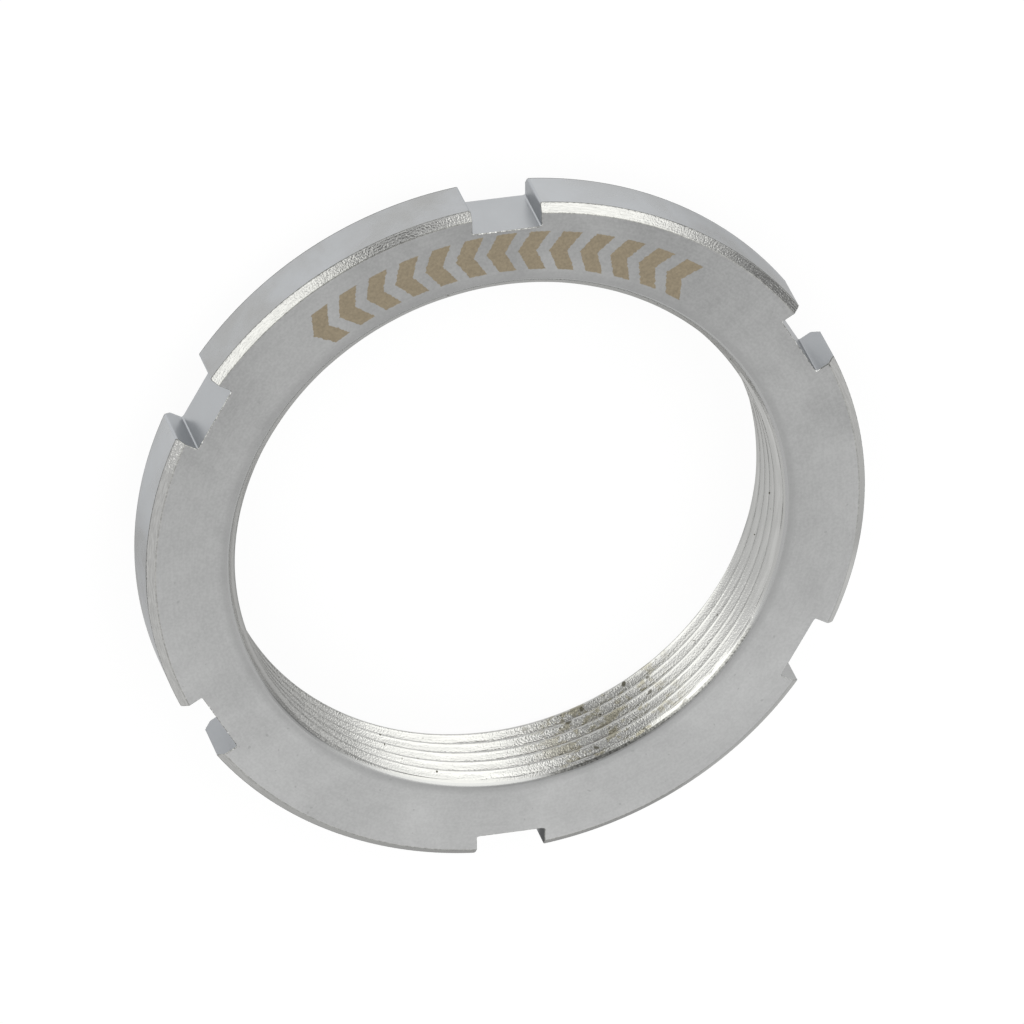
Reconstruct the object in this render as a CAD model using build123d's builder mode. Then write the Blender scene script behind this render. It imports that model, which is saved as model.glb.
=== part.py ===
"""Lock ring: a thin round nut with six spanner notches, turned and milled from one piece of steel.

Millimetres, +Z up. Z is the ring's axis, and the origin lies on it in the back face, on which the
ring rests. The front face, the one that a hook spanner is offered to, looks up. The bore is shown at
the minor diameter of its fine left-hand thread.
"""
from build123d import *
import os

# Thread in the bore, left-hand, 24 turns to the inch. Its crests lie on the minor diameter, which is
# this many pitches under the major one
thread_major_diameter = 32.77
thread_pitch = 25.4 / 24
minor_allowance = 1.0825

# Radial build-up, from the thread outwards
boss_wall = 1.865
shoulder_width = 1.35
notch_depth = 1.4

# Heights
boss_height = 1.9
flange_thickness = 3.9

# Notches round the rim
notch_count = 6
notch_width = 4.0
notch_floor_corner = 0.1
tooth_corner = 0.12

# Turned edges, each broken at 45 degrees, and the corner that the tool leaves under the flange
rim_front_chamfer = 0.45
rim_back_chamfer = 0.5
boss_chamfer = 0.4
boss_root_radius = 0.3

bore_radius = (thread_major_diameter - minor_allowance * thread_pitch) / 2
# The bore's ends are countersunk out to the thread's roots, so that no turn breaks through a face
bore_chamfer = thread_major_diameter / 2 - bore_radius
boss_radius = thread_major_diameter / 2 + boss_wall
notch_floor_distance = boss_radius + shoulder_width
rim_radius = notch_floor_distance + notch_depth
ring_height = boss_height + flange_thickness

with BuildPart() as lock_ring:
    # Turned blank: one half section, with the bore on its left and the rim on its right
    with BuildSketch(Plane.XZ) as section:
        with BuildLine():
            Polyline(
                (bore_radius, 0),
                (boss_radius, 0),
                (boss_radius, boss_height),
                (rim_radius, boss_height),
                (rim_radius, ring_height),
                (bore_radius, ring_height),
                close=True,
            )
        make_face()
        corners = section.vertices().group_by(Axis.X)
        bore_corners = corners[0]
        boss_foot, boss_root = corners[1].sort_by(Axis.Y)
        rim_back, rim_front = corners[2].sort_by(Axis.Y)
        chamfer(bore_corners, length=bore_chamfer)
        chamfer(boss_foot, length=boss_chamfer)
        chamfer(rim_back, length=rim_back_chamfer)
        chamfer(rim_front, length=rim_front_chamfer)
        fillet(boss_root, radius=boss_root_radius)
    revolve(axis=Axis.Z)

    # Milled notches: the ring keeps what lies inside this outline, seen from above
    with BuildSketch() as outline:
        Circle(rim_radius)
        with PolarLocations(notch_floor_distance, notch_count):
            Rectangle(
                2 * notch_depth,
                notch_width,
                align=(Align.MIN, Align.CENTER),
                mode=Mode.SUBTRACT,
            )
        floor_corners, *_, tooth_corners = outline.vertices().group_by(SortBy.DISTANCE)
        fillet(floor_corners, radius=notch_floor_corner)
        fillet(tooth_corners, radius=tooth_corner)
    extrude(amount=ring_height, mode=Mode.INTERSECT)

lock_ring.part.label = "lock_ring"

os.makedirs("parts", exist_ok=True)
export_step(lock_ring.part, "parts/lock_ring.step")
print(f"lock_ring: {lock_ring.part.volume:.1f} cubic mm, rim {2 * rim_radius:.2f} mm across")
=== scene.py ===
"""Lock ring for a fixed hub: a plated steel ring nut, notched for a hook spanner.

The ring is one closed surface in metres, +Z along its axis and the front face up. Its bore carries
a real left-hand thread, its rim six milled notches, and its front face a row of plain arrowheads
that point the way the nut tightens. Run as a script, the file makes the ring, its finishes, the
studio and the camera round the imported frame.
"""
import math

import bmesh
import bpy
import numpy as np
from mathutils import Matrix, Vector


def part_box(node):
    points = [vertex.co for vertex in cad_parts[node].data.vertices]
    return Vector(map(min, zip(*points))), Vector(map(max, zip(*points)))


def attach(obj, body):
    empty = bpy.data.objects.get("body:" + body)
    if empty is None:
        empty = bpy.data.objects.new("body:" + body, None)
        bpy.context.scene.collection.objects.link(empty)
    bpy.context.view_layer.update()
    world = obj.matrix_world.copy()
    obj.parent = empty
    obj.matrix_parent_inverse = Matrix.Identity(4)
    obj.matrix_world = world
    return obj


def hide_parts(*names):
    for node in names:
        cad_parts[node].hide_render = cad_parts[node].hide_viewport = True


bl_info = {
    "name": "Lock Ring",
    "version": (1, 0, 0),
    "blender": (4, 5, 0),
    "location": "3D View > Sidebar > Lock Ring",
    "description": "A threaded and notched lock ring with its plated finishes and a studio",
    "category": "Add Mesh",
}

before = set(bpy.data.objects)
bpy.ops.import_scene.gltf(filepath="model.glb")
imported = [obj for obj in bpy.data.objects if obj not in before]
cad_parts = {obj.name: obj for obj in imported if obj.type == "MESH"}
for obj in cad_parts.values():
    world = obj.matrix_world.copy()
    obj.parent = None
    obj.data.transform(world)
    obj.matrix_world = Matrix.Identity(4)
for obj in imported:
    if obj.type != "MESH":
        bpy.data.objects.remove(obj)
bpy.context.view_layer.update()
NODE = "lock_ring"
NODE_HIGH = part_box(NODE)[1]
MM = 0.001

# Numbers of the ring's material slots
FACE, EDGE, RIM, NOTCH, WALL, THREAD, BROKEN = range(7)

# Points of the mesh along a notch's floor, a tooth and a flat face, down a wall, and round the mouth,
# the boss's root, a notch's foot and a tooth's tip
FLOOR_POINTS, TOOTH_POINTS, FACE_POINTS, WALL_POINTS = 9, 45, 4, 5
MOUTH_POINTS, ROOT_POINTS, FOOT_POINTS, TIP_POINTS = 4, 6, 5, 8

# Edges that bend by more than the first angle are rounded, and the thread's, past the second, crisp
ROUNDED_BEND = math.radians(30)
CRISP_BEND = math.radians(32)

# Stretches of the ring that look unlike the rest, in degrees round the axis from +X: where each one
# starts and ends, and the soft edge beyond either end
STRETCHES = {
    "roughest_chamfer": (-54, -50, 3),
    # Painted reflection: the far chamfers' even tone and brighter grazing
    "far_chamfer_reflection": (30, 150, 15),
    # Painted reflection: a much paler stretch of the far chamfers
    "pale_chamfer_reflection": (94, 134, 8),
    "left_pale_rim": (-144, -127, 12),
    "right_pale_rim": (-54, -42, 8),
    # Painted light on the near notches' walls
    "lit_near_walls": (-125, -50, 10),
    # Painted dark reflection on one far wall
    "dark_reflection_wall": (62, 70, 1.5),
    # Painted reflection on the far right walls
    "pale_reflection_walls": (100, 140, 5),
    # Painted shadow along one notch's wall
    "shadowed_outline": (173.9, 174.7, 0.3),
    # No painted glints on the far side
    "glintless_edges": (50, 150, 5),
    # Painted light on the far right edges
    "lit_far_edges": (96, 140, 5),
    "shaded_mouth": (4, 14, 8),
    "torn_mouth": (72, 92, 8),
    "frayed_mouth": (72, 118, 5),
    # Painted light: the crests on the far side are less pale
    "far_crests": (36, 120, 12),
    # Painted shade by the crests
    "shaded_crests": (125, 160, 14),
    "sparkling_thread": (12, 26, 10),
    "rough_thread": (68, 88, 8),
}
# Places where a look changes for the rest of the way to 180 degrees: start and end of the change
CHANGES = {
    "calm_chamfer": (-50, -45),
    # Where the painted shade on the rim's edges weakens
    "far_rim": (0, 8),
    "frosted_thread": (-8.6, 5.7),
    "granular_thread": (2, 14),
    "sharp_thread": (18, 28),
    # Where the thread's painted shade ends
    "bright_thread": (24, 34),
    "right_thread": (85, 95),
    # Where the painted light on the near cones ends
    "plain_cones": (-12, -4),
    # Where the painted light on the right cones gives way to a darker tone
    "right_cones": (118, 132),
}
# Noise scales of the plating's grain and of the thread's grit, per metre
GRAIN = 7000.0
GRIT = 11000.0
# An etched arrowhead's stroke, in shares of its place in the row: its foot, its lean and half its width
ARROW_FOOT, ARROW_LEAN, ARROW_HALF = 0.31, 0.38, 0.29
# The white of the painted glints on the edges by the notches' floors
GLINT_WHITE = (0.9, 0.9, 0.88, 1.0)

# Soft lamps: azimuth and elevation, then width and height in the ring's sky, in degrees
LEFT_LAMP = (205.8, 38.0, 47.6, 62.0)
RIGHT_LAMP = (296.4, 38.5, 47.4, 47.4)
LAMP_COLOUR = (1.0, 1.0, 0.95)
# Dim patches of the room: azimuth and elevation, then the radii of the even middle and of the whole
TOP_PATCH = (262.5, 84.0, 8.0, 22.0)
DARK_PATCH = (260.5, 47.5, 11.0, 21.5)
SIDE_PATCH = (159.5, 12.0, 8.0, 19.0)
# Half the floor's side, in metres, and how far it lies under the ring, against z-fighting
FLOOR_REACH = 2.0
FLOOR_DEPTH = 0.01 * MM


def length(name, description, default):
    """A size in metres, as a property."""
    return bpy.props.FloatProperty(
        name=name, description=description, default=default, min=0.0, unit="LENGTH", precision=5
    )


def angle(name, description, degrees):
    """An angle, given in degrees and kept in radians, as a property."""
    return bpy.props.FloatProperty(
        name=name, description=description, default=math.radians(degrees), unit="ROTATION"
    )


def share(name, description, default, highest=1.0):
    """A plain number from nought up, as a property."""
    return bpy.props.FloatProperty(
        name=name, description=description, default=default, min=0.0, soft_max=highest
    )


def colour(name, description, default):
    """A linear colour, as a property."""
    return bpy.props.FloatVectorProperty(
        name=name, description=description, default=default, subtype="COLOR", size=3, min=0, max=1
    )


class LockRingSizes(bpy.types.PropertyGroup):
    """The ring's sizes."""

    rim_radius: length("Rim radius", "From the axis to the top of the teeth", NODE_HIGH.y)
    ring_height: length("Ring height", "From the back face to the front face", NODE_HIGH.z)
    boss_height: length("Boss height", "How far the boss stands behind the teeth", 1.9 * MM)
    boss_radius: length("Boss radius", "Outer radius of the boss", 18.25 * MM)
    boss_edge: length("Boss edge", "Leg of the boss's chamfer", 0.4 * MM)
    boss_root: length("Boss root", "Radius where the boss meets the flange", 0.3 * MM)
    front_edge: length("Front edge", "Leg of the rim's front chamfer", 0.45 * MM)
    back_edge: length("Back edge", "Leg of the rim's back chamfer", 0.5 * MM)
    notch_count: bpy.props.IntProperty(
        name="Notches", description="How many notches the rim has", default=6, min=3, max=12
    )
    notch_width: length("Notch width", "Between a notch's side walls", 4.0 * MM)
    notch_floor: length("Notch floor", "From the axis to a notch's flat floor", 19.6 * MM)
    notch_corner: length("Notch corner", "Radius at the foot of a notch's wall", 0.1 * MM)
    tooth_corner: length("Tooth corner", "Radius at the corner of a tooth", 0.12 * MM)
    broken_edge: length("Broken edge", "Width of the rounding on every edge", 0.045 * MM)
    crest_radius: length("Crest radius", "The thread's minor radius, at its crests", 15.812 * MM)
    root_radius: length("Root radius", "The thread's major radius, at its roots", 16.385 * MM)
    mouth_round: length("Mouth rounding", "Radius where the bore meets a face", 0.5 * MM)
    run_out: length("Run-out", "How far under a face the thread's groove starts", 0.3 * MM)
    pitch: length("Pitch", "From one turn of the thread to the next", 25.4 / 24 * MM)
    crest_height: length("Crest height", "Height of a crest's middle at angle nought", 0.85 * MM)
    crest_flat: share("Crest flat", "Share of the pitch that the flat of a crest takes", 0.13)
    crest_corner: length("Crest corner", "Half width of the rounding on the turns", 0.07 * MM)
    mark_start: angle("Mark start", "Angle at which the row of arrowheads starts", 204.0)
    mark_sweep: angle("Mark sweep", "Angle over which the arrowheads are spread", 74.0)
    mark_count: bpy.props.IntProperty(
        name="Arrowheads", description="How many arrowheads are etched", default=13, min=1, max=60
    )
    mark_inner: length("Mark inner radius", "Where the arrowheads start", 17.0 * MM)
    mark_outer: length("Mark outer radius", "Where the arrowheads end", 19.4 * MM)
    stain_middle: angle("Stain middle", "Middle of the stained stretch of the bore", 84.0)
    stain_reach: angle("Stain reach", "How far to each side the stains reach", 22.0)


class LockRingFinishes(bpy.types.PropertyGroup):
    """The ring's colours and how rough its surfaces are."""

    steel: colour("Steel", "Plated steel, front and back faces", (0.46, 0.463, 0.46))
    rim: colour("Rim", "Plated steel, rim and notches", (0.45, 0.463, 0.476))
    cut_steel: colour("Cut steel", "Freshly cut edges and thread", (0.52, 0.52, 0.508))
    etched: colour("Etched mark", "The tan of the etched arrowheads", (0.28, 0.235, 0.165))
    stain: colour("Stain", "Brown stains in the thread", (0.27, 0.24, 0.13))
    wall: colour("Notch walls", "Duller plating on the notches' sides", (0.42, 0.434, 0.45))
    broken: colour("Broken edges", "Dull steel where an edge is broken", (0.40, 0.40, 0.385))
    grazing: share("Grazing share", "How much the plating brightens towards its edges", 0.6)
    cut_grazing: share("Cut grazing share", "How much the cut steel brightens there", 0.36)
    face_roughness: share("Face roughness", "Roughness of the faces", 0.34)
    rim_roughness: share("Rim roughness", "Roughness of the rim and the notches", 0.28)
    edge_roughness: share("Edge roughness", "Roughness of the turned chamfers", 0.16)
    thread_roughness: share("Thread roughness", "Roughness of the thread", 0.21)


class LockRingStudio(bpy.types.PropertyGroup):
    """The camera, the lamps and the floor."""

    focal_length: share("Focal length", "Millimetres, on a 36 mm sensor", 562.5, 1000.0)
    camera_azimuth: angle("Camera azimuth", "Round the axis, from +X", 262.950)
    camera_elevation: angle("Camera elevation", "Above the floor", 57.697)
    camera_roll: angle("Camera roll", "How far clockwise the upright leans", 153.039)
    camera_distance: length("Camera distance", "From the point aimed at", 908.99 * MM)
    camera_aim: bpy.props.FloatVectorProperty(
        name="Camera aim",
        description="The point in the middle of the picture",
        default=(-0.6784 * MM, 0.4877 * MM, 3.1533 * MM),
        subtype="TRANSLATION",
        size=3,
        precision=5,
    )
    lamp_distance: length("Lamp distance", "From the ring to each soft lamp", 0.6)
    left_lamp: share("Left lamp", "Radiance that the large soft lamp adds", 1.12, 10.0)
    right_lamp: share("Right lamp", "Radiance that the small soft lamp adds", 1.07, 10.0)
    room_level: share("Room level", "Radiance of the room overhead", 0.92, 2.0)
    dark_level: share("Dark level", "Radiance of the dark gap between the lamps", 0.14)
    side_level: share("Side level", "Radiance of the dim patch low at the left", 0.30)
    top_level: share("Top level", "Radiance of the dim patch straight overhead", 0.32)
    shadow_depth: share("Shadow depth", "How much of the floor's white the shadow takes", 0.12)
    floor: colour("Floor", "The pale floor", (0.8, 0.8, 0.8))


def soft_ramp(x, width):
    """Nought below -width and x above +width, joined by the parabola (x + width) squared / (4 width)."""
    bend = np.square(x + width) / (4 * width)
    return np.where(x <= -width, 0.0, np.where(x >= width, x, bend))


def thread_depth(along, sizes):
    """How deep the groove is at a height along from the middle of a crest.

    The height is folded to the nearest crest. A 60 degree flank is as deep as its height times root
    three, from the end of the crest's flat down to the root, with both corners rounded:
    depth = root three (soft_ramp(along - flat) - soft_ramp(along - flat - rise)).
    """
    folded = np.abs(along - sizes.pitch * np.round(along / sizes.pitch))
    flat = sizes.pitch * sizes.crest_flat / 2
    rise = (sizes.root_radius - sizes.crest_radius) / math.sqrt(3)
    ramp = soft_ramp(folded - flat, sizes.crest_corner)
    ramp = ramp - soft_ramp(folded - flat - rise, sizes.crest_corner)
    return math.sqrt(3) * ramp


def thread_levels(sizes):
    """Heights along one pitch at which the thread's surface has rows, close together at its corners."""
    flat = sizes.crest_flat / 2
    rise = (sizes.root_radius - sizes.crest_radius) / math.sqrt(3) / sizes.pitch
    near = sizes.crest_corner / sizes.pitch * np.array([-1.0, -0.5, 0.0, 0.5, 1.0])
    middle = flat + rise * np.array([0.25, 0.5, 0.75])
    half = np.concatenate([flat + near, middle, flat + rise + near])
    return np.sort(np.concatenate([[0.0], half, 1.0 - half]))


def sector_angles(sizes):
    """Angles of the columns in one sector, from the start of a notch's floor to the next one.

    A floor's columns are evenly spaced along the flat floor, and a tooth's evenly round the axis.
    """
    half_floor = sizes.notch_width / 2 - sizes.notch_corner
    across = np.linspace(-half_floor, half_floor, FLOOR_POINTS)
    floor_angles = np.arctan2(across, sizes.notch_floor)
    sector = 2 * math.pi / sizes.notch_count
    tooth_angles = np.linspace(floor_angles[-1], sector - floor_angles[-1], TOOTH_POINTS)
    return floor_angles, tooth_angles


def ring_columns(sizes):
    """Angles of all the columns, once round, and the flange's reach at each one.

    The reach is notch_floor / cos(angle) along a floor, and the floor's end radius in the teeth.
    """
    floor_angles, tooth_angles = sector_angles(sizes)
    sector = 2 * math.pi / sizes.notch_count
    angles = np.concatenate([floor_angles[:-1], tooth_angles[:-1]])
    reach = sizes.notch_floor / np.cos(np.minimum(angles, floor_angles[-1]))
    turned = angles[None, :] + sector * np.arange(sizes.notch_count)[:, None]
    angles = np.append(turned.ravel(), angles[0] + 2 * math.pi)
    reach = np.append(np.tile(reach, sizes.notch_count), reach[0])
    return angles, reach


def lathe(angles, radii, heights):
    """A sheet turned round the axis: (r cos a, r sin a, z), a row for each radius and height."""
    angles, radii, heights = np.broadcast_arrays(angles, radii, heights)
    return np.stack([radii * np.cos(angles), radii * np.sin(angles), heights], axis=-1)


def bore_sheet(angles, sizes):
    """The thread with its two countersinks, from the front face down to the back.

    Rows follow the turns: row i is at crest_height + level_i - pitch a / 2 pi, held between the
    mouths, so a left-hand turn falls by a pitch as the angle goes once round. The radius is the
    larger of the thread, crest_radius + thread_depth, and of the 45 degree cone that would start
    from root_radius at the face. Down to run_out the cone stays whole, and there the groove ends
    at 45 degrees the other way.
    """
    eased = sizes.mouth_round * (1 - math.cos(math.pi / 4))
    fall = sizes.pitch * angles / (2 * math.pi)
    lowest = math.floor(-sizes.crest_height / sizes.pitch) - 2
    highest = math.ceil(sizes.ring_height / sizes.pitch) + 2
    levels = (np.arange(lowest, highest)[:, None] + thread_levels(sizes)[None, :]).ravel()
    along = sizes.pitch * np.sort(levels)[::-1, None]
    heights = np.clip(sizes.crest_height + along - fall, eased, sizes.ring_height - eased)
    along = heights - sizes.crest_height + fall
    deep = np.minimum(heights, sizes.ring_height - heights)
    thread = sizes.crest_radius + thread_depth(along, sizes)
    thread = np.minimum(thread, sizes.root_radius - 2 * sizes.run_out + deep)
    radii = np.maximum(thread, sizes.root_radius - deep)
    return lathe(angles, radii, heights), angles * sizes.crest_radius + 0 * heights, along


def mouth_halves(sizes):
    """The rounding between the cone and a face, as an upper and a lower half, and its outer radius.

    At a tilt t from the face the arc has r = reach - round sin t and lies round (1 - cos t) under
    the face. It meets the 45 degree cone at t = 45 degrees, so reach = root_radius + round tan 22.5.
    """
    curve = sizes.mouth_round
    reach = sizes.root_radius + curve * math.tan(math.pi / 8)
    halves = []
    for first, last in ((0.0, math.pi / 8), (math.pi / 8, math.pi / 4)):
        tilt = np.linspace(first, last, MOUTH_POINTS)[:, None]
        halves.append((reach - curve * np.sin(tilt), curve * (1 - np.cos(tilt))))
    return halves, reach


def face_sheet(angles, inner, outer, height, rows=FACE_POINTS):
    """A flat ring between two radii, each of which may change with the angle."""
    part = np.linspace(0.0, 1.0, rows)[:, None]
    return lathe(angles, inner + part * (outer - inner), height)


def boss_sheet(angles, sizes):
    """The boss's outside: chamfer, wall and the quarter-round root, as one turned profile."""
    foot, wall, top = sizes.boss_edge, sizes.boss_radius, sizes.boss_height
    bend = np.linspace(0.0, math.pi / 2, ROOT_POINTS)
    radii = np.concatenate([[wall - foot, wall], wall + sizes.boss_root * (1 - np.cos(bend))])
    heights = np.concatenate([[0.0, foot], top - sizes.boss_root * (1 - np.sin(bend))])
    return lathe(angles, radii[:, None], heights[:, None])


def notch_wall(sizes):
    """One side wall of a notch, seen from the front: radius and angle from the notch's middle line.

    The wall starts on the floor with a quarter round, runs out straight, parallel to the middle
    line, and ends in the tooth's corner, a round that touches both the wall and the rim.
    """
    half = sizes.notch_width / 2
    corner, tip, rim = sizes.notch_corner, sizes.tooth_corner, sizes.rim_radius
    foot = np.linspace(0.0, math.pi / 2, FOOT_POINTS)
    foot_across = half - corner * (1 - np.sin(foot))
    foot_out = sizes.notch_floor + corner * (1 - np.cos(foot))
    tip_across = half + tip
    tip_out = math.sqrt((rim - tip) ** 2 - tip_across**2)
    bend = np.linspace(0.0, math.pi / 2 + math.atan2(tip_across, tip_out), TIP_POINTS)
    round_across = tip_across - tip * np.cos(bend)
    round_out = tip_out + tip * np.sin(bend)
    creases = np.array([rim - sizes.back_edge, rim - sizes.front_edge])
    plain_out = foot_out[-1] + np.array([0.2, 0.4]) * MM
    straight_out = np.concatenate([plain_out, np.sqrt(creases**2 - half**2)])
    across = np.concatenate([foot_across, half + 0 * straight_out, round_across])
    out = np.concatenate([foot_out, straight_out, round_out])
    return np.hypot(across, out), np.arctan2(across, out)


def tooth_heights(radii, sizes):
    """Heights of a tooth's two faces at a radius: level, then falling away at 45 degrees."""
    top = sizes.ring_height - np.maximum(0.0, radii - (sizes.rim_radius - sizes.front_edge))
    bottom = sizes.boss_height + np.maximum(0.0, radii - (sizes.rim_radius - sizes.back_edge))
    return top, bottom


def tooth_sheets(sizes):
    """The rows' radii, the front and the back of the tooth that follows angle nought.

    Each row keeps one radius, and its columns are evenly spaced from one notch's wall to the next.
    """
    radii, wall = notch_wall(sizes)
    sector = 2 * math.pi / sizes.notch_count
    _, tooth_angles = sector_angles(sizes)
    part = (tooth_angles - tooth_angles[0]) / (tooth_angles[-1] - tooth_angles[0])
    angles = wall[:, None] + part * (sector - 2 * wall[:, None])
    top, bottom = tooth_heights(radii[:, None], sizes)
    front = lathe(angles, radii[:, None], top)
    back = lathe(angles, radii[:, None], bottom)
    return radii, front, back


def band(upper, lower, rows=WALL_POINTS):
    """A wall between two lines with the same plan: upper + part (lower - upper)."""
    part = np.linspace(0.0, 1.0, rows)[:, None, None]
    return upper + part * (lower - upper)


def turn(points, by):
    """Points turned round the axis by an angle."""
    c, s = math.cos(by), math.sin(by)
    return points @ np.array([[c, s, 0.0], [-s, c, 0.0], [0.0, 0.0, 1.0]])


def ring_sheets(sizes):
    """Every sheet of the ring with its finish and its pattern coordinates, round and along."""
    angles, reach = ring_columns(sizes)
    height, boss = sizes.ring_height, sizes.boss_height
    sheets = []

    def add(points, finish, along=None, across=None):
        if along is None:
            around = np.arctan2(points[..., 1], points[..., 0])
            along = around * sizes.rim_radius
            across = np.hypot(points[..., 0], points[..., 1]) - points[..., 2]
        sheets.append((points, finish, np.stack([along, across], axis=-1)))

    bore, along, across = bore_sheet(angles, sizes)
    add(bore, THREAD, along, across)
    halves, mouth = mouth_halves(sizes)
    for (radii, depths), finish in zip(halves, (FACE, BROKEN)):
        add(lathe(angles, radii, height - depths), finish)
        add(lathe(angles, radii, depths), finish)
    add(face_sheet(angles, mouth, reach, height), FACE)
    add(face_sheet(angles, mouth, sizes.boss_radius - sizes.boss_edge, 0.0, 3), FACE)
    add(boss_sheet(angles, sizes), RIM)
    add(face_sheet(angles, sizes.boss_radius + sizes.boss_root, reach, boss, 3), FACE)

    radii, front, back = tooth_sheets(sizes)
    front_crease = int(np.argmin(np.abs(radii - (sizes.rim_radius - sizes.front_edge))))
    back_crease = int(np.argmin(np.abs(radii - (sizes.rim_radius - sizes.back_edge))))
    floor_angles, _ = sector_angles(sizes)
    floor_reach = sizes.notch_floor / np.cos(floor_angles)
    floor_front = lathe(floor_angles, floor_reach, height)
    floor_back = lathe(floor_angles, floor_reach, boss)
    for k in range(sizes.notch_count):
        by = 2 * math.pi * k / sizes.notch_count
        add(turn(front[: front_crease + 1], by), FACE)
        add(turn(front[front_crease:], by), EDGE)
        add(turn(back[: back_crease + 1], by), FACE)
        add(turn(back[back_crease:], by), EDGE)
        add(turn(band(front[-1], back[-1]), by), RIM)
        add(turn(band(front[:, 0], back[:, 0]), by), WALL)
        add(turn(band(front[:, -1], back[:, -1]), by), WALL)
        add(turn(band(floor_front, floor_back), by), NOTCH)
    return sheets


def mesh_of(name, sheets):
    """One mesh from sheets of points: four-sided faces between neighbouring rows and columns.

    Doubles along the seams are merged, which closes the surface, and its faces turned outwards.
    """
    points, corners, finishes, pattern = [], [], [], []
    first = 0
    for sheet, finish, marks in sheets:
        rows, columns = sheet.shape[:2]
        corner = first + np.arange(rows * columns).reshape(rows, columns)[:-1, :-1]
        quads = np.stack([corner, corner + 1, corner + columns + 1, corner + columns], axis=-1)
        points.append(sheet.reshape(-1, 3))
        pattern.append(marks.reshape(-1, 2))
        corners.append(quads.reshape(-1, 4))
        finishes.append(np.full(corner.size, finish))
        first += rows * columns
    points, pattern = np.concatenate(points), np.concatenate(pattern)
    corners, finishes = np.concatenate(corners), np.concatenate(finishes)

    mesh = bpy.data.meshes.new(name)
    mesh.vertices.add(len(points))
    mesh.vertices.foreach_set("co", points.astype(np.float32).ravel())
    mesh.loops.add(corners.size)
    mesh.loops.foreach_set("vertex_index", corners.ravel().astype(np.int32))
    mesh.polygons.add(len(corners))
    mesh.polygons.foreach_set("loop_start", np.arange(0, corners.size, 4, dtype=np.int32))
    mesh.polygons.foreach_set("material_index", finishes.astype(np.int32))
    mesh.update(calc_edges=True)
    uv = mesh.uv_layers.new(name="turning")
    uv.data.foreach_set("uv", pattern[corners.ravel()].astype(np.float32).ravel())

    shell = bmesh.new()
    shell.from_mesh(mesh)
    bmesh.ops.remove_doubles(shell, verts=shell.verts, dist=1e-7)
    bmesh.ops.recalc_face_normals(shell, faces=shell.faces)
    open_edges = sum(not e.is_manifold for e in shell.edges)
    shell.to_mesh(mesh)
    shell.free()
    if open_edges:
        raise RuntimeError(f"{name} isn't closed: {open_edges} edges have no two faces")
    mesh.shade_smooth()
    return mesh


def edge_angles(mesh):
    """Angle between the two faces of each edge, and the finishes of those faces.

    Loops sorted by their edge come in pairs, and a pair's two faces give the two normals.
    """
    faces = len(mesh.polygons)
    normals = np.empty(faces * 3)
    mesh.polygons.foreach_get("normal", normals)
    normals = normals.reshape(-1, 3)
    finishes = np.empty(faces, dtype=np.int32)
    mesh.polygons.foreach_get("material_index", finishes)
    totals = np.empty(faces, dtype=np.int32)
    mesh.polygons.foreach_get("loop_total", totals)
    edges = np.empty(len(mesh.loops), dtype=np.int32)
    mesh.loops.foreach_get("edge_index", edges)
    order = np.argsort(edges, kind="stable")
    pairs = np.repeat(np.arange(faces), totals)[order].reshape(-1, 2)
    cosine = np.sum(normals[pairs[:, 0]] * normals[pairs[:, 1]], axis=1)
    return np.arccos(np.clip(cosine, -1.0, 1.0)), finishes[pairs]


def mark_edges(mesh):
    """Gives the turned and milled edges their rounding, and keeps the thread's creases crisp."""
    bend, finishes = edge_angles(mesh)
    in_thread = np.any(finishes == THREAD, axis=1)
    weight = mesh.attributes.new("bevel_weight_edge", "FLOAT", "EDGE")
    weight.data.foreach_set("value", ((bend > ROUNDED_BEND) & ~in_thread).astype(np.float32))
    sharp = mesh.attributes.new("sharp_edge", "BOOLEAN", "EDGE")
    sharp.data.foreach_set("value", (bend > CRISP_BEND) & in_thread)


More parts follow.
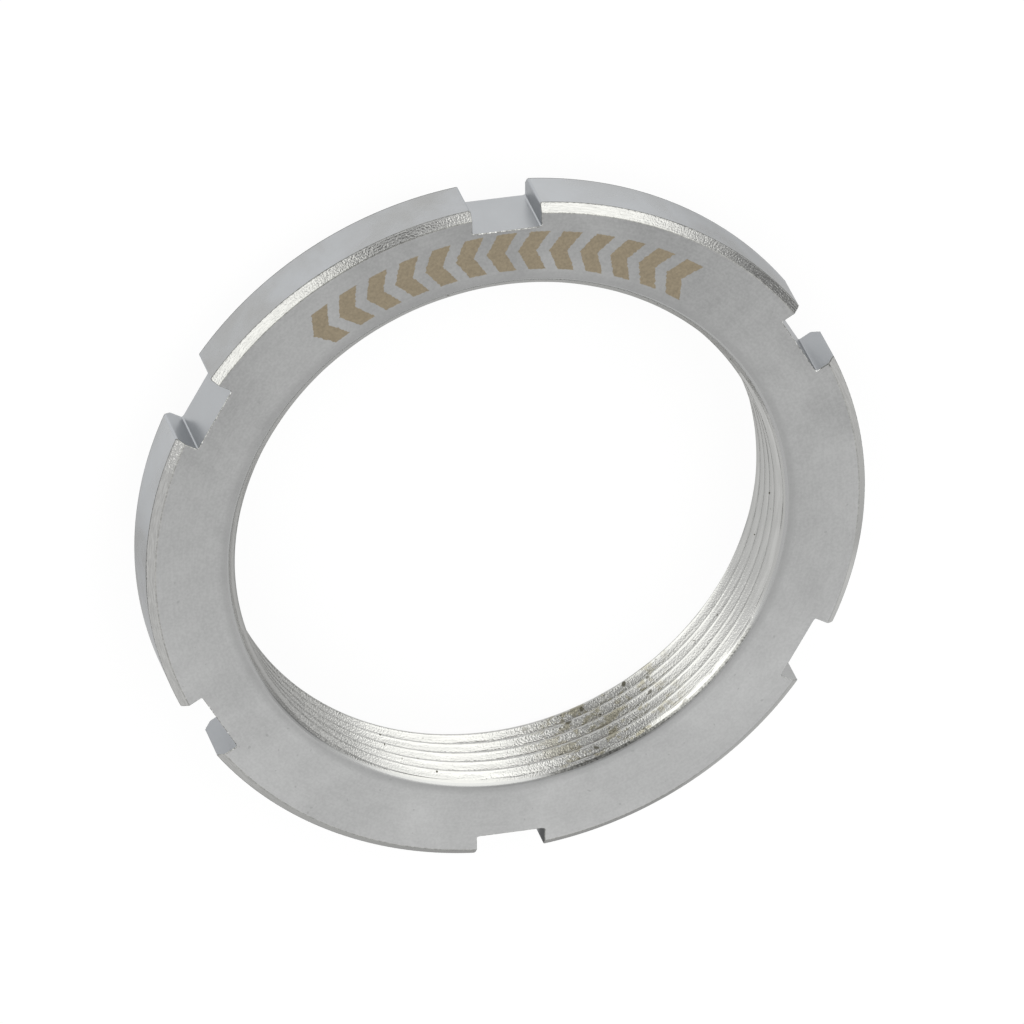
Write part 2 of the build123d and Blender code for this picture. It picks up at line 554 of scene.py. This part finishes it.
class Shader:
    """A material's or a world's node tree, built by short calls."""

    def __init__(self, owner):
        owner.use_nodes = True
        self.tree = owner.node_tree
        self.tree.nodes.clear()

    def node(self, kind, inputs=(), **settings):
        """Adds a node. Inputs are a dict of socket name or number to a value or an output socket."""
        made = self.tree.nodes.new(kind)
        for key, value in settings.items():
            setattr(made, key, value)
        for key, value in dict(inputs).items():
            if isinstance(value, bpy.types.NodeSocket):
                self.tree.links.new(value, made.inputs[key])
            else:
                made.inputs[key].default_value = value
        return made

    def math(self, operation, a, b=0.0, c=0.0, clamp=False):
        """One Math node, as its output."""
        inputs = {0: a, 1: b, 2: c}
        made = self.node("ShaderNodeMath", inputs, operation=operation, use_clamp=clamp)
        return made.outputs[0]

    def smooth(self, value, low, high, to_low=0.0, to_high=1.0):
        """Goes smoothly from to_low to to_high as value goes from low to high."""
        inputs = {"Value": value, "From Min": low, "From Max": high}
        inputs.update({"To Min": to_low, "To Max": to_high})
        made = self.node("ShaderNodeMapRange", inputs, interpolation_type="SMOOTHSTEP")
        return made.outputs[0]

    def noise(self, vector, scale, detail=2.0, roughness=0.5, distortion=0.0):
        """A noise from nought to one round a half, as its output."""
        inputs = {"Vector": vector, "Scale": scale, "Detail": detail, "Roughness": roughness}
        inputs["Distortion"] = distortion
        return self.node("ShaderNodeTexNoise", inputs).outputs[0]

    def mix(self, factor, first, second, blend="MIX"):
        """A mix of two colours, as its output."""
        inputs = {0: factor, 6: first, 7: second}
        return self.node("ShaderNodeMix", inputs, data_type="RGBA", blend_type=blend).outputs[2]

    def layered(self, tone, *layers):
        """A colour with others laid over it in turn, each one where its mask is one."""
        for mask, colour in layers:
            tone = self.mix(mask, tone, colour)
        return tone

    def sum(self, base, *parts):
        """A base plus each part's value times its weight."""
        for value, weight in parts:
            base = self.math("MULTIPLY_ADD", value, weight, base)
        return base

    def times(self, value, *others):
        """The product of all the values."""
        for other in others:
            value = self.math("MULTIPLY", value, other)
        return value

    def factor(self, mask, by):
        """A factor that goes from one to by as a mask goes from nought to one."""
        return self.sum(1.0, (mask, by - 1.0))

    def centred(self, value):
        """A value from nought to one, moved to lie round nought."""
        return self.math("SUBTRACT", value, 0.5)

    def scaled(self, vector, x=1.0, z=1.0):
        """A vector with its first and its last part scaled."""
        return self.node("ShaderNodeMapping", {"Vector": vector, "Scale": (x, 1.0, z)}).outputs[0]

    def bump(self, height, strength, distance, normal=None):
        """A bump from a height of nought to one times a distance in metres, as a normal."""
        inputs = {"Height": height, "Strength": strength, "Distance": distance}
        if normal is not None:
            inputs["Normal"] = normal
        return self.node("ShaderNodeBump", inputs).outputs[0]


def tinted(colour, by=1.0):
    """A colour made lighter or darker, with a full alpha, whether or not it came with one."""
    return (*(min(1.0, c * by) for c in colour[:3]), 1.0)


class SteelFinish(Shader):
    """A material of the ring, whose methods each paint one of its finishes.

    place is where a point of the surface lies, with parts x, y and z, radius its distance from the
    axis, and turned its angle round the axis, in radians from -pi to pi.
    """

    def __init__(self, material, sizes, looks):
        super().__init__(material)
        self.sizes, self.looks = sizes, looks
        self.place = self.node("ShaderNodeTexCoord").outputs["Object"]
        self.x, self.y, self.z = self.node("ShaderNodeSeparateXYZ", {0: self.place}).outputs
        squares = self.math("MULTIPLY_ADD", self.x, self.x, self.times(self.y, self.y))
        self.radius = self.math("SQRT", squares)
        self.turned = self.math("ARCTAN2", self.y, self.x)

    def over(self, stretch):
        """One over a named stretch, and nought beyond its soft edges."""
        low, high, edge = (math.radians(degrees) for degrees in STRETCHES[stretch])
        rise = self.smooth(self.turned, low - edge, low)
        return self.times(rise, self.smooth(self.turned, high, high + edge, 1.0, 0.0))

    def past(self, change, before=0.0, after=1.0):
        """Goes smoothly from before to after over a named change."""
        low, high = (math.radians(degrees) for degrees in CHANGES[change])
        return self.smooth(self.turned, low, high, before, after)

    def under(self, value, low, high, most=1.0):
        """Falls smoothly from most to nought as a value goes from low to high."""
        return self.smooth(value, low, high, most, 0.0)

    def round_marks(self):
        """A vector for marks that run round the axis: (x, y, 12 r) changes slowly that way."""
        parts = {0: self.x, 1: self.y, 2: self.times(self.radius, 12.0)}
        return self.node("ShaderNodeCombineXYZ", parts).outputs[0]

    def clouds(self, scale):
        """Soft uneven patches, from nought to one."""
        return self.smooth(self.noise(self.place, scale, 3.0, 0.6, 0.4), 0.3, 0.7)

    def varied(self, factor, colour, spread):
        """A colour that goes from darker to lighter by a share as a factor goes from nought to one."""
        return self.mix(factor, tinted(colour, 1.0 - spread), tinted(colour, 1.0 + spread))

    def cut(self, by):
        """The cut steel's colour, made lighter or darker."""
        return tinted(self.looks.cut_steel, by)

    def end(self, grazing, tone, roughness, normal, metallic=1.0):
        """Ends a steel finish, which brightens less towards its edges than polished steel does."""
        inputs = {"Base Color": tone, "Metallic": metallic, "Roughness": roughness, "Normal": normal}
        if not isinstance(grazing, bpy.types.NodeSocket):
            grazing = (grazing, grazing, grazing, 1.0)
        inputs["Specular Tint"] = grazing
        steel = self.node("ShaderNodeBsdfPrincipled", inputs)
        self.node("ShaderNodeOutputMaterial", {"Surface": steel.outputs[0]})

    def end_milled(self, steel, roughness):
        """Ends a milled finish: soft clouds and a few straight cutter lines along the axis."""
        lines = self.noise(self.scaled(self.place, z=0.05), 5000.0)
        clouds = self.noise(self.place, 400.0)
        uneven = self.mix(clouds, (0.94, 0.94, 0.94, 1.0), (1.06, 1.06, 1.06, 1.0))
        tone = self.mix(1.0, uneven, steel, "MULTIPLY")
        rough = self.sum(roughness - 0.03, (lines, 0.06))
        self.end(0.92 * self.looks.grazing, tone, rough, self.bump(lines, 0.6, 0.002 * MM))

    def arrowheads(self, fray):
        """Mask of the etched arrowheads: a row of chevrons that lean the way the nut tightens.

        With s the place along one arrowhead's share of the row, from nought to one, and v the
        distance from the row's middle line over its half width, the stroke is
        |s - foot - lean (1 - |v|)| < half.
        """
        sizes = self.sizes
        start = sizes.mark_start - 2 * math.pi
        per_radian = sizes.mark_count / sizes.mark_sweep
        place = self.sum(fray, (self.math("SUBTRACT", self.turned, start), per_radian))
        middle = (sizes.mark_inner + sizes.mark_outer) / 2
        half = (sizes.mark_outer - sizes.mark_inner) / 2
        off = self.math("DIVIDE", self.math("SUBTRACT", self.radius, middle), half)
        off = self.math("ADD", self.math("ABSOLUTE", off), fray)
        line = self.sum(ARROW_FOOT + ARROW_LEAN, (off, -ARROW_LEAN))
        stroke = self.math("ABSOLUTE", self.math("SUBTRACT", self.math("FRACT", place), line))
        return self.times(
            self.under(stroke, ARROW_HALF - 0.015, ARROW_HALF + 0.015),
            self.under(off, 0.97, 1.02),
            self.smooth(place, -0.01, 0.01),
            self.under(place, sizes.mark_count - 0.01, sizes.mark_count + 0.01),
        )

    def satin_face(self):
        """The faces: a satin plating with fine turning lines and the etched row.

        It is faintly mottled, paler towards +Y with a painted sheen, and darker round the bore's mouth
        with painted shade of the mouth's rounding.
        """
        sizes, looks = self.sizes, self.looks
        height, bore = sizes.ring_height, sizes.root_radius
        clouds = self.clouds(150.0)
        grain = self.noise(self.place, GRAIN, 1.0)
        lines = self.noise(self.round_marks(), 700.0, 2.0, 0.6)
        fine = self.sum(self.times(grain, 0.65), (lines, 0.35))
        fray = self.sum(-0.05, (self.noise(self.place, 5000.0), 0.10))
        front = self.smooth(self.z, height - 0.2 * MM, height - 0.1 * MM)
        mark = self.times(self.arrowheads(fray), front)
        # Painted sheen: the face is paler towards +Y, as light falls on it, broken by a broad noise
        across = self.sum(self.times(self.y, 0.89), (self.x, 0.45))
        patch = self.sum(-0.2, (self.noise(self.place, 60.0, 1.0), 0.4))
        sheen = self.smooth(self.sum(patch, (across, 1 / sizes.rim_radius)), -1.0, 1.0)
        shade = self.sum(self.times(clouds, 0.32), (sheen, 0.49), (self.smooth(fine, 0.3, 0.7), 0.19))
        specks = self.smooth(self.noise(self.place, 2600.0, 1.0), 0.74, 0.78, 0.0, 0.5)
        # Painted shade: the face darkens towards the bore's mouth, as its rounding would shade it
        shade_and_grain = self.under(self.radius, bore + 0.15 * MM, bore + 0.65 * MM, 0.5)
        tone = self.layered(
            self.varied(shade, tinted(looks.steel, 0.98), 0.295),
            (specks, tinted(looks.steel, 0.72)),
            (shade_and_grain, tinted(looks.steel, 0.74)),
            (mark, self.varied(grain, looks.etched, 0.25)),
        )
        rough = self.sum(looks.face_roughness - 0.03, (clouds, 0.06), (mark, 0.25))
        self.end(looks.grazing, tone, rough, self.bump(fine, 0.7, 0.006 * MM), self.factor(mark, 0.4))

    def turned_edge(self):
        """The chamfers: a handful of fine concentric tool lines that sparkle like frost, with a painted
        reflection on the far side.
        """
        wave = self.math("SINE", self.times(self.radius, 2 * math.pi / (0.11 * MM)))
        groove = self.sum(0.5, (wave, 0.5))
        torn = self.noise(self.round_marks(), 1500.0, 2.0, 0.6)
        frosted = self.past("calm_chamfer", 1.0, 0.25)
        tears = self.times(torn, self.sum(0.4, (frosted, 0.6)))
        rougher = self.math("ADD", self.over("roughest_chamfer"), frosted)
        frost = self.times(self.centred(self.noise(self.place, 9500.0, 1.0)), rougher)
        normal = self.bump(groove, 1.0, 0.002 * MM)
        normal = self.bump(tears, 1.0, 0.007 * MM, normal)
        normal = self.bump(frost, 1.0, 0.016 * MM, normal)
        # Painted reflection: on the far side the chamfers take an even tone and brighten more at grazing
        far = self.over("far_chamfer_reflection")
        tone = self.varied(self.smooth(torn, 0.35, 0.65), self.cut(0.87), 0.08)
        # Painted reflection: one stretch of the far chamfers is made much paler
        tone = self.layered(tone, (far, self.cut(0.88)), (self.over("pale_chamfer_reflection"), self.cut(1.28)))
        rough = self.sum(self.looks.edge_roughness - 0.05, (torn, 0.1))
        self.end(self.sum(self.looks.cut_grazing, (far, 0.09)), tone, rough, normal)

    def plated_rim(self):
        """The rim and the boss: smooth, a little blue, with soft clouds and two pale stretches."""
        looks = self.looks
        clouds = self.clouds(230.0)
        grain = self.noise(self.place, GRAIN, 1.0)
        pale = self.math("MAXIMUM", self.over("left_pale_rim"), self.over("right_pale_rim"))
        tone = self.layered(
            self.varied(grain, tinted(looks.steel, 0.95), 0.04),
            (clouds, self.varied(grain, tinted(looks.rim, 1.14), 0.04)),
            (self.times(pale, 0.5), tinted(looks.rim, 1.35)),
        )
        rough = self.sum(looks.rim_roughness - 0.04, (clouds, 0.08))
        self.end(looks.grazing, tone, rough, self.bump(grain, 0.6, 0.004 * MM))

    def milled_notch(self):
        """The notches' floors: milled smooth and plated."""
        self.end_milled(tinted(self.looks.rim, 1.14), self.looks.rim_roughness + 0.03)

    def dull_wall(self):
        """The notches' side walls: thinner, duller plating, with painted light that makes the near
        notches' walls palest.

        One far wall carries a painted dark reflection that makes it nearly black by the face, and
        another a painted reflection as pale as the face.
        """
        wall, height = self.looks.wall, self.sizes.ring_height
        front = self.smooth(self.z, height - 2.5 * MM, height - 0.8 * MM)
        steel = self.layered(
            tinted(wall),
            # Painted light: the near notches' walls are paler
            (self.over("lit_near_walls"), tinted(wall, 1.22)),
            # Painted dark reflection: one far wall is nearly black by the face
            (self.times(self.over("dark_reflection_wall"), front), tinted(wall, 0.15)),
            # Painted reflection: the far right walls take the face's pale colour
            (self.over("pale_reflection_walls"), tinted(self.looks.steel, 1.12)),
        )
        self.end_milled(steel, 0.38)

    def cut_thread(self):
        """The thread: cut flanks with tool lines along the turns, dull crests made paler by painted
        light, brown stains and pits.

        The stains keep to one stretch of the bore, and the pits are few and lie anywhere. The cones
        by the faces carry painted light and shade that change round the bore, and a band by the crests
        painted shade in one stretch. Beside the left lamp's light the steel is granular and darker
        with painted shade.
        """
        sizes, looks = self.sizes, self.looks
        turns = self.node("ShaderNodeUVMap", uv_map="turning").outputs[0]
        lines = self.noise(self.scaled(turns, x=0.04), 9000.0, 2.0, 0.6)
        smeared = self.scaled(turns, x=0.45)
        grit = self.noise(self.place, GRIT, 1.0)
        crest = self.under(self.radius, sizes.crest_radius, sizes.crest_radius + 0.05 * MM)
        soft_crest = self.under(self.radius, sizes.crest_radius, sizes.crest_radius + 0.3 * MM)
        edge = self.math("MINIMUM", self.z, self.math("SUBTRACT", sizes.ring_height, self.z))
        sunk = self.under(edge, 0.45 * MM, 0.55 * MM)
        right = self.past("right_thread")
        near = self.past("plain_cones", 1.0, 0.0)

        around = self.math("ABSOLUTE", self.math("SUBTRACT", self.turned, sizes.stain_middle))
        stretch = self.under(around, 0.1, sizes.stain_reach)
        blots = self.smooth(self.noise(smeared, 1900.0, 3.0, 0.7), 0.50, 0.60)
        pits = self.smooth(self.noise(self.place, 2900.0, 1.0, 0.6), 0.75, 0.80)
        more_pits = self.smooth(self.noise(smeared, 3200.0, 1.0, 0.6), 0.65, 0.72)
        pits = self.math("MAXIMUM", pits, self.times(stretch, more_pits))

        # Painted light: the crests are much paler than the flanks, less so on the right and far sides
        crests = self.layered(
            self.cut(1.30), (right, self.cut(1.05)), (self.over("far_crests"), self.cut(1.08))
        )
        # Painted light and shade: the cones by the faces are paler on the right and on the near side,
        # and darker again further round
        cones = self.layered(
            self.cut(0.90),
            (right, self.cut(1.10)),
            (self.past("right_cones"), self.cut(0.92)),
            (near, self.cut(1.08)),
        )
        grains = self.centred(self.smooth(grit, 0.35, 0.65))
        grains = self.sum(0.5, (grains, self.past("granular_thread")))
        tone = self.layered(
            self.varied(self.smooth(lines, 0.3, 0.7), looks.cut_steel, 0.08),
            (crest, crests),
            # Painted shade: a band by the crests is darker in one stretch
            (self.times(soft_crest, self.over("shaded_crests")), self.cut(0.88)),
            (sunk, cones),
            # Painted shade with the steel's own grain: up to the left lamp's reflection the thread is
            # darker
            (self.past("bright_thread", 0.8, 0.0), self.varied(grains, self.cut(0.80), 0.22)),
            (self.times(stretch, blots, 0.56), tinted(looks.stain)),
            (self.times(pits, 0.85), tinted(looks.stain, 0.2)),
        )

        frost = self.times(
            self.centred(grit),
            self.factor(sunk, 0.9),
            self.factor(crest, 0.3),
            self.factor(right, 0.55),
            self.factor(self.over("rough_thread"), 1.35),
            self.factor(self.over("sparkling_thread"), 1.5),
            self.past("frosted_thread", 0.15, 1.0),
        )
        normal = self.bump(frost, 1.0, 0.0138 * MM, self.bump(lines, 1.0, 0.011 * MM))
        rough = self.sum(looks.thread_roughness, (crest, 0.1), (pits, 0.3))
        rough = self.math("ADD", rough, self.past("sharp_thread", 0.14, 0.0))
        # Painted reflection: the near cones brighten more at grazing
        grazing = self.sum(looks.cut_grazing, (crest, 0.3), (self.times(near, sunk), 0.3))
        self.end(grazing, tone, rough, normal)

    def broken_edge(self):
        """The broken edges: dull and grainy, with painted shade that makes them darkest round the near
        rim, a painted shadow along one notch's wall, and painted glints by the notches' floors.

        Round the bore's mouth they are even, save for painted shade over one stretch and where the last
        cuts have torn the far side. On the far right they take the face's colour as painted light.
        """
        looks, rim, floor = self.looks, self.sizes.rim_radius, self.sizes.notch_floor
        grain = self.noise(self.place, GRAIN, 2.0, 0.6)
        shade_and_grain = self.smooth(grain, 0.3, 0.7)

        def dull(by, spread):
            return self.varied(shade_and_grain, tinted(looks.broken, by), spread)

        # Painted shade, over the edges' own darker steel: the rim's edges are darkest on the near side
        rim_edge_shade = self.smooth(self.radius, rim - 0.3 * MM, rim - 0.15 * MM)
        rim_edge_shade = self.times(rim_edge_shade, self.past("far_rim", 1.0, 0.35))
        inside = self.smooth(self.radius, floor - 0.1 * MM, floor)
        near_floor = self.times(inside, self.under(self.radius, floor + 0.3 * MM, floor + 0.5 * MM))
        # Painted highlight: white glints on the edges by the notches' floors, none on the far side
        glint = self.smooth(self.noise(self.place, 3200.0, 1.0), 0.60, 0.64)
        glint = self.math("SUBTRACT", glint, self.over("glintless_edges"), clamp=True)
        mouth = self.under(self.radius, floor - 2.6 * MM, floor - 2.2 * MM)
        frayed = self.times(mouth, self.over("frayed_mouth"))
        lip = self.mix(self.over("shaded_mouth"), tinted(looks.steel, 0.94), tinted(looks.steel, 0.752))
        tone = self.layered(
            dull(1.0, 0.2),
            (rim_edge_shade, dull(0.65, 0.3)),
            # Painted shadow: a dark outline along one notch's wall
            (self.over("shadowed_outline"), dull(0.5, 0.3)),
            (near_floor, dull(1.0, 0.5)),
            (self.times(glint, near_floor), GLINT_WHITE),
            # Painted light: the far right edges take the face's colour
            (self.times(self.over("lit_far_edges"), 0.7), tinted(looks.steel)),
            (mouth, lip),
            (frayed, dull(0.85, 0.4)),
            (self.times(mouth, self.over("torn_mouth")), dull(0.55, 0.5)),
        )
        grainy = self.sum(1.0, (mouth, -1.0), (frayed, 1.0))
        normal = self.bump(self.times(self.centred(grain), grainy), 1.0, 0.005 * MM)
        self.end(self.sum(looks.cut_grazing, (mouth, 0.2)), tone, 0.26, normal)


# The finishes, in the order of the ring's material slots
FINISHES = (
    SteelFinish.satin_face,
    SteelFinish.turned_edge,
    SteelFinish.plated_rim,
    SteelFinish.milled_notch,
    SteelFinish.dull_wall,
    SteelFinish.cut_thread,
    SteelFinish.broken_edge,
)


def ring_finishes(sizes, looks):
    """The ring's materials, each named after its finish."""
    made = []
    for paint in FINISHES:
        material = bpy.data.materials.new(paint.__name__)
        paint(SteelFinish(material, sizes, looks))
        made.append(material)
    return made


class LOCKRING_OT_ring(bpy.types.Operator):
    """Makes the ring: its faces, chamfers, notches and left-hand thread, as one closed surface"""

    bl_idname = "lock_ring.ring"
    bl_label = "Ring"
    bl_options = {"REGISTER", "UNDO"}

    def execute(self, context):
        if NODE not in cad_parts:
            raise RuntimeError(f"the frame has no node named {NODE}")
        sizes, looks = context.scene.lock_ring_sizes, context.scene.lock_ring_finishes
        mesh = mesh_of("ring", ring_sheets(sizes))
        mark_edges(mesh)
        for material in ring_finishes(sizes, looks):
            mesh.materials.append(material)
        ring = bpy.data.objects.new("ring", mesh)
        context.scene.collection.objects.link(ring)
        rounding = ring.modifiers.new("Broken edges", "BEVEL")
        rounding.limit_method = "WEIGHT"
        rounding.width = sizes.broken_edge
        rounding.segments = 2
        rounding.use_clamp_overlap = False
        rounding.material = BROKEN
        rounding.harden_normals = True
        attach(ring, "root")
        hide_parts(NODE)
        return {"FINISHED"}


def towards(azimuth, elevation):
    """The direction at an azimuth from +X and an elevation above the floor."""
    level = math.cos(elevation)
    return Vector((level * math.cos(azimuth), level * math.sin(azimuth), math.sin(elevation)))


def soft_lamp(scene, name, azimuth, elevation, wide, high, radiance, distance):
    """A round soft lamp that fills wide by high degrees of the sky, seen from the ring."""
    lamp = bpy.data.lights.new(name, "AREA")
    lamp.shape = "ELLIPSE"
    lamp.size = 2 * distance * math.tan(math.radians(wide) / 2)
    lamp.size_y = 2 * distance * math.tan(math.radians(high) / 2)
    lamp.energy = radiance * math.pi * (math.pi / 4) * lamp.size * lamp.size_y
    lamp.color = LAMP_COLOUR
    holder = bpy.data.objects.new(name, lamp)
    back = towards(math.radians(azimuth), math.radians(elevation))
    holder.location = back * distance
    holder.rotation_euler = back.to_track_quat("Z", "Y").to_euler()
    holder.visible_camera = False
    scene.collection.objects.link(holder)


def studio_room(scene, studio):
    """The room's light: white at the horizon and below, level overhead, dark behind the camera."""
    room = bpy.data.worlds.new("room")
    scene.world = room
    shader = Shader(room)
    view = shader.node("ShaderNodeTexCoord").outputs["Generated"]
    up = shader.node("ShaderNodeSeparateXYZ", {0: view}).outputs[2]
    level = shader.smooth(up, 0.05, 0.16, 1.0, studio.room_level)

    def darken(level, azimuth, elevation, inner, outer, to):
        centre = towards(math.radians(azimuth), math.radians(elevation))
        near = shader.node("ShaderNodeVectorMath", {0: view, 1: centre}, operation="DOT_PRODUCT")
        cosines = math.cos(math.radians(outer)), math.cos(math.radians(inner))
        part = shader.smooth(near.outputs["Value"], *cosines)
        return shader.sum(shader.times(level, shader.factor(part, 0.0)), (part, to))

    level = darken(level, *TOP_PATCH, studio.top_level)
    level = darken(level, *DARK_PATCH, studio.dark_level)
    level = darken(level, *SIDE_PATCH, studio.side_level)
    glow = shader.node("ShaderNodeBackground", {"Color": (1.0, 1.0, 1.0, 1.0), "Strength": level})
    shader.node("ShaderNodeOutputWorld", {"Surface": glow.outputs[0]})


def floor_finish(studio):
    """The floor: a pale matt white.

    Seen straight or in the metal, most of it glows at full white, and the rest is lit, so that the
    ring's shadow shows faintly in it.
    """
    material = bpy.data.materials.new("studio_floor")
    shader = Shader(material)
    matt = shader.node("ShaderNodeBsdfDiffuse", {"Color": (*studio.floor, 1.0)})
    pale = tuple(c * studio.shadow_depth for c in studio.floor)
    seen = shader.node("ShaderNodeBsdfDiffuse", {"Color": (*pale, 1.0)})
    glow = shader.node("ShaderNodeEmission", {"Strength": 1.04 - studio.shadow_depth})
    lit = shader.node("ShaderNodeAddShader", {0: seen.outputs[0], 1: glow.outputs[0]})
    path = shader.node("ShaderNodeLightPath").outputs
    sight = shader.math("MAXIMUM", path["Is Camera Ray"], path["Is Glossy Ray"])
    sight = shader.math("MAXIMUM", sight, path["Is Transmission Ray"])
    both = shader.node("ShaderNodeMixShader", {0: sight, 1: matt.outputs[0], 2: lit.outputs[0]})
    shader.node("ShaderNodeOutputMaterial", {"Surface": both.outputs[0]})
    return material


def studio_floor(scene, studio):
    """A level square sheet that the ring lies on."""
    sheet = bmesh.new()
    lowered = Matrix.Translation((0.0, 0.0, -FLOOR_DEPTH))
    bmesh.ops.create_grid(sheet, x_segments=4, y_segments=4, size=FLOOR_REACH, matrix=lowered)
    mesh = bpy.data.meshes.new("floor")
    sheet.to_mesh(mesh)
    sheet.free()
    mesh.materials.append(floor_finish(studio))
    floor = bpy.data.objects.new("floor", mesh)
    scene.collection.objects.link(floor)


def studio_camera(scene, studio):
    """The camera, a long lens aimed past the ring's middle and rolled as the picture is."""
    lens = bpy.data.cameras.new("camera")
    lens.lens, lens.sensor_width = studio.focal_length, 36.0
    lens.clip_start, lens.clip_end = 0.05, 10.0
    back = towards(studio.camera_azimuth, studio.camera_elevation)
    side = Vector((0.0, 0.0, 1.0)).cross(back).normalized()
    upright = back.cross(side)
    c, s = math.cos(studio.camera_roll), math.sin(studio.camera_roll)
    right, up = c * side + s * upright, c * upright - s * side
    place = Matrix((right, up, back)).transposed().to_4x4()
    place.translation = Vector(studio.camera_aim) + back * studio.camera_distance
    holder = bpy.data.objects.new("camera", lens)
    holder.matrix_world = place
    scene.collection.objects.link(holder)
    scene.camera = holder


class LOCKRING_OT_studio(bpy.types.Operator):
    """Makes the pale floor, the soft lamps, the room's light and the camera"""

    bl_idname = "lock_ring.studio"
    bl_label = "Studio"
    bl_options = {"REGISTER", "UNDO"}

    def execute(self, context):
        scene = context.scene
        studio = scene.lock_ring_studio
        studio_floor(scene, studio)
        studio_room(scene, studio)
        reach = studio.lamp_distance
        soft_lamp(scene, "left_lamp", *LEFT_LAMP, studio.left_lamp, reach)
        soft_lamp(scene, "right_lamp", *RIGHT_LAMP, studio.right_lamp, reach)
        studio_camera(scene, studio)
        scene.view_settings.view_transform = "Standard"
        return {"FINISHED"}


class LOCKRING_PT_panel(bpy.types.Panel):
    """Lists the ring's sizes and finishes and the studio"""

    bl_label = "Lock Ring"
    bl_space_type = "VIEW_3D"
    bl_region_type = "UI"
    bl_category = "Lock Ring"

    def draw(self, context):
        scene = context.scene
        groups = (
            ("Sizes", scene.lock_ring_sizes, "lock_ring.ring"),
            ("Finishes", scene.lock_ring_finishes, None),
            ("Studio", scene.lock_ring_studio, "lock_ring.studio"),
        )
        for title, group, operator in groups:
            box = self.layout.box()
            box.label(text=title)
            for name in type(group).__annotations__:
                box.prop(group, name)
            if operator:
                box.operator(operator)


CLASSES = (
    LockRingSizes,
    LockRingFinishes,
    LockRingStudio,
    LOCKRING_OT_ring,
    LOCKRING_OT_studio,
    LOCKRING_PT_panel,
)
GROUPS = {
    "lock_ring_sizes": LockRingSizes,
    "lock_ring_finishes": LockRingFinishes,
    "lock_ring_studio": LockRingStudio,
}


def register():
    for made in CLASSES:
        bpy.utils.register_class(made)
    for name, group in GROUPS.items():
        setattr(bpy.types.Scene, name, bpy.props.PointerProperty(type=group))


def unregister():
    for name in GROUPS:
        delattr(bpy.types.Scene, name)
    for made in reversed(CLASSES):
        bpy.utils.unregister_class(made)


def main():
    register()
    bpy.ops.lock_ring.ring()
    bpy.ops.lock_ring.studio()


if __name__ == "__main__":
    main()
